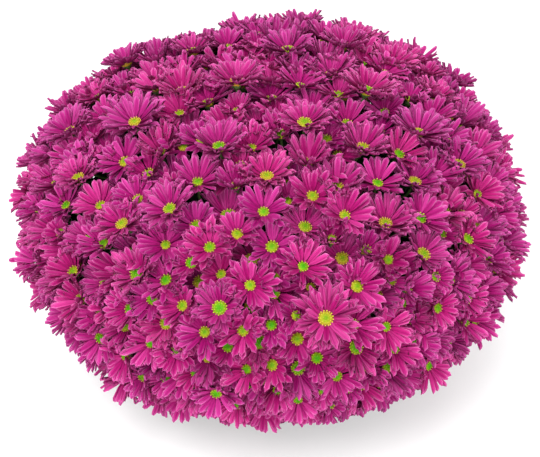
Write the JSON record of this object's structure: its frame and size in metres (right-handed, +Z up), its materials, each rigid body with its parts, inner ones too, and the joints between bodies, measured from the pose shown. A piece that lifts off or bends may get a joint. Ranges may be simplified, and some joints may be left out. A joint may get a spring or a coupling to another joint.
{
  "type": "potted chrysanthemum",
  "caption": "Potted garden chrysanthemum with a wide low dome of magenta daisy blooms on leafy sprays over a plain nursery pot.",
  "frame": {"origin": "centre of the pot's underside, on the floor", "axes": "+Z up, -Y towards the viewer of the front, +X to the right"},
  "size_m": [0.4637, 0.475, 0.3339],
  "materials": {
    "pot_plastic": "satin",
    "soil": "matte",
    "petals": "matte",
    "disc": "matte",
    "leaf": "satin",
    "stem": "matte"
  },
  "bodies": {
    "root": {"pot": "pot_plastic", "soil": "soil", "spray_01": "petals", "spray_02": "petals", "spray_03": "petals", "spray_04": "petals", "spray_05": "petals", "spray_06": "petals", "spray_07": "petals", "spray_08": "petals", "spray_09": "petals", "spray_10": "petals", "spray_11": "petals", "spray_12": "petals", "spray_13": "petals", "spray_14": "petals", "spray_15": "petals", "spray_16": "petals", "spray_17": "petals", "spray_18": "petals", "spray_19": "petals", "spray_20": "petals", "spray_21": "petals", "spray_22": "petals", "spray_23": "petals", "spray_24": "petals"}
  },
  "joints": []
}
